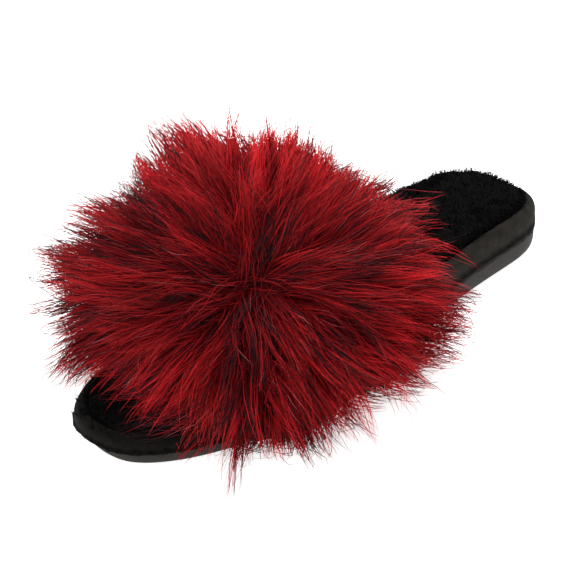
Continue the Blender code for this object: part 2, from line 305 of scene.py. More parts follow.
def paint_shade_towards_toe(material):
    """Multiply a material's colour by a share that falls off along the slipper, as painted shade.
    """
    nodes, links = material.node_tree.nodes, material.node_tree.links
    colour = nodes["Principled BSDF"].inputs["Base Color"]
    before = colour.links[0].from_socket
    place = nodes.new("ShaderNodeTexCoord")
    apart = nodes.new("ShaderNodeSeparateXYZ")
    share = nodes.new("ShaderNodeMapRange")
    share.inputs["From Min"].default_value = RIM_SHADE_FROM
    share.inputs["From Max"].default_value = RIM_SHADE_TO
    share.inputs["To Min"].default_value = RIM_PAINTED_SHADE
    share.inputs["To Max"].default_value = 1.0
    scaled = nodes.new("ShaderNodeVectorMath")
    scaled.operation = "SCALE"
    links.new(place.outputs["Object"], apart.inputs["Vector"])
    links.new(apart.outputs["Y"], share.inputs["Value"])
    links.new(before, scaled.inputs[0])
    links.new(share.outputs["Result"], scaled.inputs["Scale"])
    links.new(scaled.outputs["Vector"], colour)


def make_footbed():
    footbed = merged_copy("footbed", "wrapped_footbed")
    round_off(footbed, 2)
    close_seam(footbed, -1.0)
    footbed.data.materials.append(grained_material(
        "napped wrap", dark=(0.006, 0.0052, 0.0042), light=(0.020, 0.017, 0.0135),
        broad=240.0, fine=1400.0, bump=0.00030, roughness=1.0, sheen=0.03, specular=0.05))
    paint_shade_towards_toe(footbed.data.materials[0])
    place_in_frame(footbed, "footbed", "footbed")
    return footbed


footbed = make_footbed()

# %% [markdown]
# ## The plush insole
#
# Plush is short dense pile. From a step away it reads as a soft black mass with an uneven top
# and a fuzzy edge. The mass is a rounded copy of the insole node with a low swell, worked out
# from smooth noise, and the fuzz is many short fibres planted on it further down.

# %% Plush mass
PLUSH_SWELL = 0.0014
PLUSH_SWELL_SIZE = 0.007
PLUSH_SWELL_LEVEL = 0.1


def make_plush():
    plush = merged_copy("insole", "plush_insole")
    round_off(plush, 2)
    for vert in plush.data.vertices:
        swell = noise.noise(vert.co / PLUSH_SWELL_SIZE)
        vert.co += vert.normal * PLUSH_SWELL * (swell - PLUSH_SWELL_LEVEL)
    plush.data.materials.append(grained_material(
        "black plush", dark=(0.0022, 0.0021, 0.0021), light=(0.0050, 0.0046, 0.0045),
        broad=160.0, fine=700.0, bump=0.0010, roughness=1.0, specular=0.02))
    place_in_frame(plush, "plush", "insole")
    return plush


plush = make_plush()

# %% [markdown]
# ## The band
#
# The vamp band is cloth, 2 mm thick with its lining. Fur hides its outside, and its lining shows
# only when one looks in at the toe or at the heel. The node's form is right, so the copy is only
# rounded off.

# %% Band
def make_band():
    band = merged_copy("upper_band", "lined_band")
    round_off(band, 1)
    band.data.materials.append(grained_material(
        "band lining", dark=(0.010, 0.009, 0.010), light=(0.020, 0.018, 0.019),
        broad=300.0, fine=1400.0, bump=0.00015, roughness=0.95, sheen=0.15, specular=0.2))
    place_in_frame(band, "backing", "upper_band")
    return band


band = make_band()

# %% [markdown]
# ## Fibres as a mesh
#
# Fur, pile and stray hairs are all fibres: thin closed tubes with three sides that taper to a
# point. One function turns centre lines into such a mesh, for thousands of fibres at once. Each
# fibre also gets a place on a UV map of 64 upright columns: the column says which tone of hair
# it is, and the height says how far along the hair a point is. Its material needs nothing else.
#
# A single hair is too fine to be seen. What the eye reads is the roundness of a whole lock, so
# a fibre may be given the direction that its lock faces, and its normals are turned to that.

# %% Fibres as a mesh
TONES = 64
SIDES = 3
COLUMN_EDGE = 0.1         # share of a column that is left free on each side
SOFTNESS = 0.76           # share of a normal that comes from the lock
UPRIGHT = 0.9             # a run steeper than this needs another direction to be square to
CAP_HEIGHT = 0.01         # gives the root's small end face a real area on the map


def unit(vectors):
    """The same directions with length one."""
    return vectors / (np.linalg.norm(vectors, axis=-1, keepdims=True) + 1e-12)


def fibre_frames(lines):
    """Two directions square to each point's run, for all fibres."""
    run = unit(np.gradient(lines, axis=1))
    hint = np.zeros_like(run)
    hint[..., 2] = 1.0
    hint[np.abs(run[..., 2]) > UPRIGHT] = (1.0, 0.0, 0.0)
    across = unit(np.cross(run, hint))
    return across, np.cross(run, across)


def fibre_faces(rings):
    """One fibre's face corners, their places on the map as side and ring, and face sizes."""
    corners = []
    spots = []
    sizes = []
    for ring in range(rings - 1):
        for side in range(SIDES):
            here, there = ring * SIDES + side, ring * SIDES + (side + 1) % SIDES
            corners += [here, there, there + SIDES, here + SIDES]
            spots += [(side, ring), (side + 1, ring), (side + 1, ring + 1), (side, ring + 1)]
            sizes.append(4)
    tip = rings * SIDES
    last = (rings - 1) * SIDES
    for side in range(SIDES):
        corners += [last + side, last + (side + 1) % SIDES, tip]
        spots += [(side, rings - 1), (side + 1, rings - 1), (side + 0.5, rings)]
        sizes.append(3)
    corners += [2, 1, 0]
    spots += [(2, 0), (1, 0), (0, 0)]
    sizes.append(3)
    return np.array(corners), np.array(spots, float), np.array(sizes)


def fibre_mesh(name, lines, radii, tones, heights, facing=None):
    """Closed tapered tubes. lines and facing: fibres x points x 3. radii: fibres x (points - 1)."""
    count, points = lines.shape[:2]
    rings = points - 1
    across, aside = fibre_frames(lines)
    turns = np.arange(SIDES) * (2.0 * math.pi / SIDES)
    around = (across[:, :rings, None] * np.cos(turns)[None, None, :, None]
              + aside[:, :rings, None] * np.sin(turns)[None, None, :, None])
    tube = lines[:, :rings, None] + around * radii[:, :, None, None]
    verts = np.concatenate([tube.reshape(count, rings * SIDES, 3), lines[:, -1:]], axis=1)

    corners, spots, sizes = fibre_faces(rings)
    per_fibre = rings * SIDES + 1
    loops = (corners[None] + np.arange(count)[:, None] * per_fibre).ravel()
    sizes = np.tile(sizes, count)
    mesh = bpy.data.meshes.new(name)
    mesh.vertices.add(count * per_fibre)
    mesh.vertices.foreach_set("co", verts.astype(np.float32).ravel())
    mesh.loops.add(len(loops))
    mesh.loops.foreach_set("vertex_index", loops.astype(np.int32))
    mesh.polygons.add(len(sizes))
    mesh.polygons.foreach_set("loop_start", (np.cumsum(sizes) - sizes).astype(np.int32))
    mesh.update(calc_edges=True)

    side_share = COLUMN_EDGE + (1.0 - 2.0 * COLUMN_EDGE) * spots[:, 0] / SIDES
    height_of = np.array(heights)[spots[:, 1].astype(int)]
    height_of[-3] += CAP_HEIGHT
    chart = mesh.uv_layers.new(name="OFBake")
    u = (tones[:, None] + side_share[None]) / TONES
    v = np.broadcast_to(height_of[None], u.shape)
    chart.data.foreach_set("uv", np.stack([u, v], axis=2).astype(np.float32).ravel())
    mesh.shade_smooth()
    if facing is not None:
        square = around * (1.0 - SOFTNESS) + facing[:, :rings, None] * SOFTNESS
        square = np.concatenate([square.reshape(count, rings * SIDES, 3), facing[:, -1:]], axis=1)
        mesh.normals_split_custom_set_from_vertices(unit(square.reshape(-1, 3)))
    piece = bpy.data.objects.new(name, mesh)
    bpy.context.scene.collection.objects.link(piece)
    return piece


# %% [markdown]
# ## Where fibres are planted
#
# A fibre needs a root and the direction square to the surface there. Roots are scattered over
# the faces of a mesh by area, with a seeded generator, so that every run plants the same ones.

# %% Planting
def surface_triangles(mesh):
    """Corner points and normals of a mesh's triangles."""
    mesh.calc_loop_triangles()
    points = np.zeros(len(mesh.vertices) * 3)
    mesh.vertices.foreach_get("co", points)
    index = np.zeros(len(mesh.loop_triangles) * 3, int)
    mesh.loop_triangles.foreach_get("vertices", index)
    corners = points.reshape(-1, 3)[index.reshape(-1, 3)]
    square = np.cross(corners[:, 1] - corners[:, 0], corners[:, 2] - corners[:, 0])
    area = np.linalg.norm(square, axis=1) / 2.0
    return corners, square / (2.0 * area[:, None] + 1e-15), area


def scatter(corners, normals, weight, count, draw):
    """Random points on triangles, as many on each as its weight asks for."""
    pick = draw.choice(len(corners), size=count, p=weight / weight.sum())
    a, b = draw.random(count), draw.random(count)
    over = a + b > 1.0
    a[over], b[over] = 1.0 - a[over], 1.0 - b[over]
    chosen = corners[pick]
    spots = (chosen[:, 0] + (chosen[:, 1] - chosen[:, 0]) * a[:, None]
             + (chosen[:, 2] - chosen[:, 0]) * b[:, None])
    return spots, normals[pick]


# %% [markdown]
# ## The form of the fur
#
# The photo shows where the pile ends on every side: a flattened ball around the band, wider
# than the sole, with swells and partings. Long hair hides where it grows, so the fur is shaped
# from the outside in: this form says where hair tips lie, and the band says where roots are.
# Its middle, reach and height are those of the frame's fur solid, and it has more swells, because
# loose hair can follow smaller ones. Squeezed to a ball of radius one, every place in the fur is
# a direction and a share of the way out, which is easy to reckon with.

# %% Form of the fur
FUR_MIDDLE = np.array((0.0, -0.037, 0.038))
FUR_REACH = 0.084
FUR_UP = 0.060
FUR_DOWN = 0.062
# Where the form swells or parts: direction, width in radians, and share added to the size.
LOBES = (
    ((-0.74, -0.42, 0.54), 0.32, -0.22),
    ((-0.67, -0.03, 0.74), 0.28, 0.17),
    ((0.02, 0.83, 0.55), 0.46, -0.24),
    ((0.46, 0.56, 0.69), 0.22, -0.09),
    ((0.53, 0.78, 0.32), 0.36, -0.12),
    ((0.82, 0.52, 0.24), 0.22, -0.05),
    ((0.88, 0.45, -0.12), 0.24, 0.04),
    ((0.74, 0.67, 0.03), 0.22, -0.08),
    ((0.74, 0.50, 0.45), 0.20, -0.10),
    ((0.24, -0.90, -0.37), 0.20, -0.07),
    ((0.84, -0.33, -0.42), 0.24, 0.09),
    ((0.62, -0.67, -0.40), 0.14, 0.05),
    ((0.45, -0.79, -0.42), 0.14, -0.05),
    ((-0.56, -0.83, -0.01), 0.14, -0.05),
    ((-0.40, -0.86, -0.33), 0.14, 0.07),
    ((0.92, 0.00, -0.38), 0.26, -0.12),
    ((0.56, -0.62, -0.52), 0.52, 0.19),
    ((-0.60, -0.62, 0.46), 0.26, 0.11),
    ((-0.49, -0.85, -0.18), 0.30, 0.07),
    ((-0.02, -0.94, -0.33), 0.30, -0.14),
)
WHORL = np.array((0.57, -0.55, 0.617))
WHORL /= np.linalg.norm(WHORL)


def angle_to(toward, directions):
    """Angle between one direction and each of many, all of length one."""
    return np.arccos(np.clip(directions @ toward, -1.0, 1.0))


def bell(angles, width):
    """One at an angle of nothing, and less and less away from it."""
    return np.exp(-((angles / width) ** 2))


def lobes(away):
    """Share of the full size that the fur has in each direction."""
    share = np.ones(len(away))
    for toward, width, rise in LOBES:
        toward = np.array(toward) / np.linalg.norm(toward)
        share += rise * bell(angle_to(toward, unit(away)), width)
    return share


def from_ball(ball):
    """Places in the fur from places in a ball of radius one."""
    high = np.where(ball[:, 2] > 0.0, FUR_UP, FUR_DOWN)
    away = ball * np.stack([np.full(len(ball), FUR_REACH)] * 2 + [high], axis=1)
    return FUR_MIDDLE + away * lobes(away)[:, None]


def turned(directions, turn):
    """Directions moved away from the whorl by an angle, or towards it if that is negative."""
    side = unit(directions - WHORL * (directions @ WHORL)[:, None])
    along = angle_to(WHORL, directions) + turn
    return WHORL * np.cos(along)[:, None] + side * np.sin(along)[:, None]


print("swells and partings", len(LOBES))

# %% [markdown]
# ## Lock tips
#
# Real pile lies in locks: a few dozen hairs that share a root spot, bend together and meet at
# the tip. Lock tips are spread evenly over the form, like seeds on a sunflower, and then lean
# together in tufts of three or four. At the whorl they hardly lean, because hair parts there.
# Vector noise that changes slowly gives neighbours something in common.

# %% Lock tips
LOCKS = 2200
TUFTS = 520
TIP_SCATTER = 0.03
TUFT_SCATTER = 0.05
TUFT_PULL = 0.5
TUFT_LOOSE = 0.8          # share of the pull that is lost at the whorl
TUFT_LOOSE_WIDTH = 0.7
LOWEST = -0.88
# No lock ends where the foot goes in: further back, nearer the middle and lower than this.
FOOT_BACK = 0.25
FOOT_SIDE = 0.55
FOOT_HEIGHT = 0.12


def sunflower(count):
    """Directions spread evenly over a sphere."""
    number = np.arange(count) + 0.5
    rise = 1.0 - 2.0 * number / count
    turn = number * math.pi * (3.0 - math.sqrt(5.0))
    out = np.sqrt(1.0 - rise ** 2)
    return np.stack([out * np.cos(turn), out * np.sin(turn), rise], axis=1)


def slow_noise(directions, size, offset):
    """Smooth noise vectors that neighbours share."""
    return np.array([noise.noise_vector(Vector(d / size + offset)) for d in directions])


def lock_tips(draw):
    """Directions of the lock tips, and the number of the tuft that each lock leans to."""
    tips = unit(sunflower(LOCKS) + draw.normal(0.0, TIP_SCATTER, (LOCKS, 3)))
    foot = (tips[:, 1] > FOOT_BACK) & (np.abs(tips[:, 0]) < FOOT_SIDE) & (tips[:, 2] < FOOT_HEIGHT)
    tips = tips[(tips[:, 2] > LOWEST) & ~foot]
    tufts = unit(sunflower(TUFTS) + draw.normal(0.0, TUFT_SCATTER, (TUFTS, 3)))
    tuft = np.argmax(tips @ tufts.T, axis=1)
    loose = TUFT_LOOSE * bell(angle_to(WHORL, tips), TUFT_LOOSE_WIDTH)
    pull = (TUFT_PULL * (1.0 - loose))[:, None]
    return unit(tips * (1.0 - pull) + tufts[tuft] * pull), tuft


# %% [markdown]
# ## Hair on the sole
#
# Hair that reaches down to the sole can't go through it. The footbed's two edges and its top are
# read from the frame in even steps. A place that would be inside is lifted onto the plush and
# slides on towards the toe or the heel. Close to an edge it hangs down just outside instead.

# %% Hair on the sole
EDGE_STEPS = 40
EDGE_OVERLAP = 0.004
EDGE_DRAPE = 0.009
EDGE_SLACK = 0.001
EDGE_GAP = 0.002
PLUSH_OVER_RIM = 0.0045
HEEL_SLIDE = 0.3
HEM = 0.004


def sole_edges():
    """Where the footbed's two edges and its top are, at even steps from toe to heel."""
    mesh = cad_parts["footbed"].data
    spots = np.zeros(len(mesh.vertices) * 3)
    mesh.vertices.foreach_get("co", spots)
    spots = spots.reshape(-1, 3)
    steps = np.linspace(spots[:, 1].min(), spots[:, 1].max(), EDGE_STEPS + 1)
    rows = []
    for low, high in zip(steps[:-1], steps[1:]):
        near = (spots[:, 1] >= low - EDGE_OVERLAP) & (spots[:, 1] <= high + EDGE_OVERLAP)
        row = spots[near]
        rows.append(((low + high) / 2.0, row[:, 0].min(), row[:, 0].max(), row[:, 2].max()))
    return np.array(rows).T


EDGE_AT, EDGE_OUTER, EDGE_INNER, EDGE_TOP = sole_edges()
print("sole from", EDGE_OUTER.min().round(4), "to", EDGE_INNER.max().round(4))


def off_the_sole(places, lift, slide, drape):
    """Places lifted off the sole, or moved beside its edge if drape is true."""
    places = places.copy()
    outer = np.interp(places[:, 1], EDGE_AT, EDGE_OUTER)
    inner = np.interp(places[:, 1], EDGE_AT, EDGE_INNER)
    top = np.interp(places[:, 1], EDGE_AT, EDGE_TOP) + PLUSH_OVER_RIM + lift
    depth = np.minimum(places[:, 0] - outer, inner - places[:, 0])
    low = (places[:, 2] < top) & (depth > -EDGE_SLACK)
    beside = low & (depth < EDGE_DRAPE) & drape
    toe = places[:, 1] < FUR_MIDDLE[1]
    short = np.where(low & ~beside, top - places[:, 2], 0.0)
    places[:, 2] += short
    places[:, 1] += np.where(toe, -slide, HEEL_SLIDE) * short
    out = np.where(places[:, 0] > (outer + inner) / 2.0, inner + EDGE_GAP, outer - EDGE_GAP)
    places[:, 0] = np.where(beside, out, places[:, 0])
    places[:, 2] = np.maximum(places[:, 2], HEM)
    return places


# %% [markdown]
# ## Lock sizes
#
# A lock's size is its tip's share of the way out. Most differ a little, by slow noise, by tuft
# and by chance. Some are much longer, as the guard hairs of real fur are, but none at the whorl,
# where all are shorter.

# %% Lock sizes
SIZE = 0.99
SIZE_SWELL = 0.09
SIZE_CHANCE = 0.045
SIZE_BY_TUFT = 0.05
SIZE_LEAST = 0.76
SIZE_MOST = 1.20
LONG_SHARE = 0.14
LONG_LEAST = 0.04
LONG_MOST = 0.16
LONG_FROM = 0.9           # angle from the whorl where long locks begin
WHORL_DIP = 0.09
WHORL_DIP_WIDTH = 0.35


def lock_sizes(tip, along, tuft, draw):
    size = SIZE + SIZE_SWELL * slow_noise(tip, 0.22, 7.7)[:, 0]
    size += draw.normal(0.0, SIZE_CHANCE, len(tip))
    size += draw.normal(0.0, SIZE_BY_TUFT, TUFTS)[tuft]
    long = (draw.random(len(tip)) < LONG_SHARE) & (along > LONG_FROM)
    size += long * draw.uniform(LONG_LEAST, LONG_MOST, len(tip))
    return np.clip(size, SIZE_LEAST, SIZE_MOST) - WHORL_DIP * bell(along, WHORL_DIP_WIDTH)


# %% [markdown]
# ## Locks from root to tip
#
# From its tip each lock is traced back towards the whorl by an angle, its lie, down to a knee
# inside the fur. The nearest spot on the band's outside is its root. Four guide points say how it
# runs: root, rise, bend and end. Slow noise makes neighbours sway together, and a little chance
# makes them cross.

# %% Locks from root to tip
LIE = 0.54
LIE_FAR = 0.28            # the same, far from the whorl
LIE_LEAST = 0.75
LIE_MOST = 1.2
FAR_FROM = 1.0
FAR_OVER = 1.2
PAST_WHORL = 0.12
SWAY = 0.28
SWAY_SIZE = 0.40
KNEE_CHANCE = 0.05
TIP_CHANCE = 0.045
BEND_BACK = 0.42
BEND_SWAY = 0.4
BEND_OUT = 0.945
BEND_LIFT = 0.007
KNEE_OUT = 0.83
ROOT_OUT = 0.70
RISE_TO_KNEE = 0.6
END_LIFT = 0.005
TOE_SLIDE = 0.75
ROOT_SPOTS = 5000
BAND_MIDDLE = Vector((0.0, 0.0, 0.03))
BAND_END = 0.7            # what faces along the slipper by more than this is an end of the band


def nearest_roots(places, draw):
    """The closest of many spots on the band's outside, for each place."""
    corners, normals, area = surface_triangles(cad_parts["upper_band"].data)
    outward = corners.mean(axis=1) - np.array(BAND_MIDDLE)
    outward[:, 1] = 0.0
    outer = ((normals * outward).sum(1) > 0.0) & (np.abs(normals[:, 1]) < BAND_END)
    spots = scatter(corners[outer], normals[outer], area[outer], ROOT_SPOTS, draw)[0]
    found = [int(np.argmin(((spots - place) ** 2).sum(1))) for place in places]
    return spots[found]


def lock_lines(draw):
    """Four guide points for each lock, and its tuft."""
    tip, tuft = lock_tips(draw)
    count = len(tip)
    sway = slow_noise(tip, SWAY_SIZE, 3.1)
    along = angle_to(WHORL, tip)
    far = np.clip((along - FAR_FROM) / FAR_OVER, 0.0, 1.0)
    lie = (LIE + (LIE_FAR - LIE) * far) * draw.uniform(LIE_LEAST, LIE_MOST, count)
    lie = np.minimum(lie, along + PAST_WHORL)
    knee = unit(turned(tip, -lie) + draw.normal(0.0, KNEE_CHANCE, tip.shape))
    middle = unit(turned(tip, -lie * BEND_BACK) + sway * SWAY * BEND_SWAY)
    tip = unit(tip + sway * SWAY + draw.normal(0.0, TIP_CHANCE, tip.shape))
    size = lock_sizes(tip, along, tuft, draw)
    root = nearest_roots(from_ball(knee * ROOT_OUT), draw)
    rise = root * (1.0 - RISE_TO_KNEE) + from_ball(knee * KNEE_OUT) * RISE_TO_KNEE
    lift = draw.uniform(0.0, END_LIFT, count)
    bend = from_ball(middle * (BEND_OUT * size)[:, None])
    bend = off_the_sole(bend, BEND_LIFT, 0.0, False)
    end = off_the_sole(from_ball(tip * size[:, None]), lift, TOE_SLIDE, True)
    return root, rise, bend, end, tuft


draw_locks = np.random.default_rng(23)
ROOTS, RISES, BENDS, TIPS, TUFT_OF = lock_lines(draw_locks)
LOCKS = len(ROOTS)
print("locks", LOCKS, "tips from", TIPS.min(0).round(3), "to", TIPS.max(0).round(3))

# %% [markdown]
# ## Strands
#
# Each lock is filled with strands. A strand starts a few millimetres from the lock's root and
# ends close to its tip, and stops short of it by a different amount, so that a lock thins out to
# a point. Some strands stray. The curve through the four guide points is a Bezier curve, and
# each lock has a wave of its own on top, which grows towards its tip.

# %% Strands
STRANDS = 29800
PILE_PIECES = 5
ALONG = np.array((0.0, 0.32, 0.54, 0.73, 0.88, 1.0))
THICKNESS = 0.00017
TAPER = np.array((0.9, 1.0, 0.95, 0.75, 0.42))
BULGE = 0.9
ROOT_SPREAD = 0.0024
RISE_SPREAD = 0.0028
BEND_SPREAD = 0.0023
TIP_SPREAD = 0.0006
STRAND_CHANCE = 0.0005
LOCK_SWING = 0.0030
STRAY_SHARE = 0.07
STRAY_SPREAD = 4.5
STRAY_REACH = (0.97, 1.10)
SHORT_BY = 0.36
SHORT_BEND = 1.1
WAVE = 0.0019
WAVES = 1.35
STRAND_WAVE = 0.0005
STRAND_WAVE_TURN = 9.0


def bezier(guides, along):
    """Points on cubic curves. guides: four arrays of fibres x 3. along: fibres x points."""
    s = along[..., None]
    a, b, c, d = (g[:, None] for g in guides)
    return a * (1 - s) ** 3 + 3 * b * s * (1 - s) ** 2 + 3 * c * s * s * (1 - s) + d * s ** 3


def lock_waves(lock, along, draw):
    """How far each point of a strand is moved by the wave of its lock."""
    start = draw.random(LOCKS)[lock][:, None]
    swell = np.sin((along * WAVES + start) * 2.0 * math.pi) - np.sin(start * 2.0 * math.pi)
    return draw.normal(0.0, WAVE, (LOCKS, 3))[lock][:, None] * (swell * along)[..., None]


def strand_lines(draw):
    lock = draw.integers(0, LOCKS, STRANDS)
    spread = draw.normal(0.0, 1.0, (STRANDS, 3))
    stray = draw.random(STRANDS) < STRAY_SHARE
    swing = draw.normal(0.0, LOCK_SWING, (LOCKS, 3))
    root = ROOTS[lock] + spread * ROOT_SPREAD
    rise = RISES[lock] + spread * RISE_SPREAD
    bend = BENDS[lock] + swing[lock] + spread * BEND_SPREAD
    looser = np.where(stray, STRAY_SPREAD, 1.0)[:, None]
    apart = spread * TIP_SPREAD + draw.normal(0.0, STRAND_CHANCE, spread.shape)
    tip = TIPS[lock] + apart * looser
    tip[:, 2] = np.maximum(tip[:, 2], HEM * 0.5)
    reach = 1.0 - SHORT_BY * draw.random(STRANDS) ** SHORT_BEND
    reach[stray] = draw.uniform(*STRAY_REACH, stray.sum())
    along = reach[:, None] * ALONG[None]
    lines = bezier((root, rise, bend, tip), along)
    lines += lock_waves(lock, along, draw)
    turn = np.sin(ALONG * STRAND_WAVE_TURN)[None, :, None]
    lines += draw.normal(0.0, STRAND_WAVE, (STRANDS, 1, 3)) * turn
    return lock, stray, spread, lines


def strand_facing(lines, spread):
    """Which way each point of a strand faces: out of the fur, and out of its own lock."""
    out = unit(lines - FUR_MIDDLE) + BULGE * unit(spread)[:, None]
    run = unit(np.gradient(lines, axis=1))
    return unit(out - run * (out * run).sum(axis=2, keepdims=True))


# %% [markdown]
# ## The tone of each hair
#
# The hair is dyed one red, and still no two locks look alike. Each strand picks a column of the
# fibre map: plain red, red with a dark tip, dark throughout, or red with a pale tip, which is a
# painted highlight. Lightness comes from the lock, its tuft and slow noise. Painted shade makes it
# least around the whorl, where one looks down into the fur, and painted light makes it most on the
# top lobe, under the lamp, and a little more on one side than the other. Dark tips are most common
# at the fur's outer edge and above the heel end of the insole.

# %% Tone of each hair
TOP_LOBE = np.array((-0.40, 0.25, 0.88))
TOP_LOBE /= np.linalg.norm(TOP_LOBE)
TOP_LOBE_WIDTH = 0.6
# Painted light on the top lobe, which the lamp above lights most.
TOP_PAINTED_LIGHT = 0.46
TOP_RED_TIPS = 0.6
# Painted shade around the whorl, where one looks down into the fur.
WHORL_PAINTED_SHADE = 0.90
WHORL_PAINTED_SHADE_WIDTH = 0.9
# Painted light: one side of the fur is a little lighter than the other.
SIDE = np.array((0.70, 0.71, 0.0))
SIDE_PAINTED_LIGHT = 0.04
HEEL_SIDE = np.array((0.60, 0.79, 0.10))
LIGHT_CONTRAST = 1.35
LIGHT_PATCH = 0.3
LIGHT_OF_LOCK = 0.78
DARK_SHARE = 0.26
DARK_PATCH = 1.1
DARK_EDGE = 0.34
DARK_HEEL = 0.5
DARK_TIPS_IN_DARK_LOCK = 0.85
DARK_TIPS_OF_STRAYS = 0.6
DARK_TIPS_ELSEWHERE = 0.06
GUARD_OF_STRAYS = 0.25
GUARD_ELSEWHERE = 0.015
# Share of strands with a pale tip, a painted highlight.
PAINTED_HIGHLIGHT_SHARE = 0.06
REDS = 20                 # columns of plain red, and as many with dark tips
DARKS = 10                # columns dark throughout, and as many with pale tips


def lock_tones(draw):
    """For each lock: lightness with its painted light and shade, whether its tips are dark, and how
    near the whorl it is.
    """
    toward = unit(TIPS - FUR_MIDDLE)
    patch = slow_noise(toward, 0.28, 1.3)[:, 1]
    along = angle_to(WHORL, toward)
    whorl = bell(along, WHORL_PAINTED_SHADE_WIDTH)
    edge = np.clip((along - 0.9) / 0.5, 0.0, 1.0)
    own = 0.5 * draw.random(LOCKS) + 0.5 * draw.random(TUFTS)[TUFT_OF]
    own = (own - 0.5) * LIGHT_CONTRAST + 0.5 + LIGHT_PATCH * patch
    light = np.clip(own, 0.0, 1.0) * (1.0 - WHORL_PAINTED_SHADE * whorl)
    top = bell(angle_to(TOP_LOBE, toward), TOP_LOBE_WIDTH)
    light = np.clip(light + TOP_PAINTED_LIGHT * top + SIDE_PAINTED_LIGHT * (toward @ SIDE), 0.0, 1.0)
    heel = np.clip((toward @ HEEL_SIDE - 0.55) * 4.0, 0.0, 1.0)
    often = DARK_SHARE + DARK_PATCH * patch + DARK_EDGE * edge
    often = often - TOP_RED_TIPS * top + DARK_HEEL * heel
    return light, draw.random(LOCKS) < np.clip(often, 0.05, 0.92), whorl


def strand_tones(lock, stray, draw):
    """The column of each strand, from the tones of its lock and a little chance."""
    lock_light, lock_dark, whorl = lock_tones(draw)
    own = (1.0 - LIGHT_OF_LOCK) * draw.random(STRANDS)
    light = np.clip(LIGHT_OF_LOCK * lock_light[lock] + own, 0.0, 0.999)
    chance = np.where(stray, DARK_TIPS_OF_STRAYS, DARK_TIPS_ELSEWHERE)
    chance = np.where(lock_dark[lock], DARK_TIPS_IN_DARK_LOCK, chance)
    dark_tip = draw.random(STRANDS) < chance
    tones = (light * REDS).astype(int) + np.where(dark_tip, REDS, 0)
    guard = draw.random(STRANDS) < np.where(stray, GUARD_OF_STRAYS, GUARD_ELSEWHERE)
    tones = np.where(guard, 2 * REDS + (light * DARKS).astype(int), tones)
    # A pale tip is a painted highlight.
    pale = draw.random(STRANDS) < PAINTED_HIGHLIGHT_SHARE * (1.0 - whorl[lock])
    return np.where(pale & ~guard, 2 * REDS + DARKS + (light * DARKS).astype(int), tones)


# %% [markdown]
# ## Long guard hairs
#
# A few groups of long hairs stand clear of the pile at its edge, and fine ones lie over the toe
# end of the insole. They are few and their places show, so the ends of the groups are a short
# list, and the rest of each hair is traced back into the fur as a lock is.

# %% Long guard hairs
# Where a group ends, and how many hairs it has.
WISPS = (
    ((-0.059, -0.113, 0.019), 4),
    ((-0.052, -0.112, 0.012), 5),
    ((-0.068, -0.098, 0.049), 5),
    ((-0.067, -0.081, 0.070), 4),
    ((-0.051, -0.044, 0.096), 4),
    ((-0.030, -0.020, 0.101), 3),
    ((-0.013, -0.003, 0.099), 4),
    ((0.028, 0.022, 0.076), 5),
    ((0.033, 0.024, 0.073), 4),
    ((0.069, 0.023, 0.024), 5),
    ((0.068, 0.018, 0.018), 4),
    ((0.077, 0.003, 0.006), 4),
    ((-0.041, -0.120, 0.016), 4),
    ((0.066, -0.119, 0.003), 9),
    ((0.067, -0.115, 0.003), 9),
)
WISP_SPREAD = 0.0011
WISP_LIE = 0.35
WISP_RISE = 0.28
WISP_OUT = 0.80
WISP_BEND = 0.65
WISP_CROWN = 0.005
WISP_SWING = 0.0022
WISP_TONES = (29, 44)
TOE_HAIRS = 110
TOE_HAIRS_LOW = (-0.030, -0.128, 0.0195)
TOE_HAIRS_HIGH = (0.042, -0.108, 0.0235)


def wisp_lines(draw):
    """Guard hairs to the wisps' ends, and thin ones lying over the toe of the insole."""
    ends = [np.array(end) + draw.normal(0.0, WISP_SPREAD, (hairs, 3)) for end, hairs in WISPS]
    over = draw.uniform(TOE_HAIRS_LOW, TOE_HAIRS_HIGH, (TOE_HAIRS, 3))
    ends = np.concatenate(ends + [over])
    toward = unit((ends - FUR_MIDDLE) / (FUR_REACH, FUR_REACH, FUR_UP))
    roots = nearest_roots(from_ball(turned(toward, -WISP_LIE) * ROOT_OUT), draw)
    rises = from_ball(unit(turned(toward, -WISP_RISE)) * WISP_OUT)
    bends = rises * (1.0 - WISP_BEND) + ends * WISP_BEND + (0.0, 0.0, WISP_CROWN)
    bends += draw.normal(0.0, WISP_SWING, ends.shape)
    along = np.broadcast_to(ALONG, (len(ends), len(ALONG)))
    return bezier((roots, rises, bends, ends), along)


# %% [markdown]
# ## All hairs together
#
# Strands and guard hairs become one set of lines. Hair may go a little past the frame's box, by
# a limit that is worked out from it, and none goes into the floor.

# %% All hairs together
PAST_SHARE = 1.03
PAST_BOX = 0.008
FLOOR_GAP = 0.001

draw_strands = np.random.default_rng(5)
LOCK_OF, STRAY, SPREAD, LINES = strand_lines(draw_strands)
TONE_OF = strand_tones(LOCK_OF, STRAY, draw_strands)
LONG_HAIRS = wisp_lines(draw_strands)
LINES = np.concatenate([LINES, LONG_HAIRS])
SPREAD = np.concatenate([SPREAD, draw_strands.normal(0.0, 1.0, (len(LONG_HAIRS), 3))])
TONE_OF = np.concatenate([TONE_OF, draw_strands.integers(*WISP_TONES, len(LONG_HAIRS))])
STRANDS = len(LINES)
LIMIT_LOW = np.array(CAD_BOX[0]) * PAST_SHARE - PAST_BOX
LIMIT_HIGH = np.array(CAD_BOX[1]) * PAST_SHARE + PAST_BOX
LIMIT_LOW[2] = FLOOR_GAP
LINES = np.clip(LINES, LIMIT_LOW, LIMIT_HIGH)
FACING = strand_facing(LINES, SPREAD)
print("strands", STRANDS, "mean length",
      round(float(np.linalg.norm(np.diff(LINES, axis=1), axis=2).sum(1).mean()), 4))

